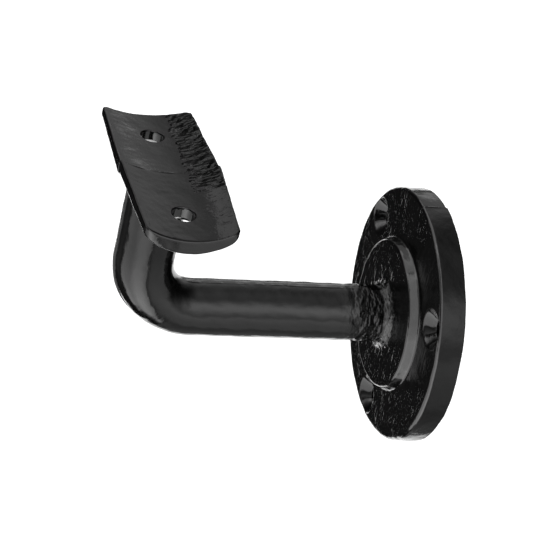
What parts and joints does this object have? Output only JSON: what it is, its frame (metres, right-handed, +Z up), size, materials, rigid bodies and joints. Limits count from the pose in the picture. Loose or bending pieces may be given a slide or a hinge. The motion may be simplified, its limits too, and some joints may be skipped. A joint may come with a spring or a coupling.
{
  "type": "handrail bracket",
  "caption": "Cast wall bracket for a round handrail: a round wall rose, an arm that turns up into a leg, and a curved saddle plate.",
  "frame": {"origin": "centre of the wall rose's back face, on the arm's axis", "axes": "the wall is the plane y = 0 and the bracket stands out towards -Y; X runs along the handrail; +Z is up"},
  "size_m": [0.0684, 0.0897, 0.0772],
  "materials": {
    "black_paint": "gloss black paint over rough cast iron"
  },
  "bodies": {
    "root": {"bracket_casting": "black_paint"}
  },
  "joints": []
}
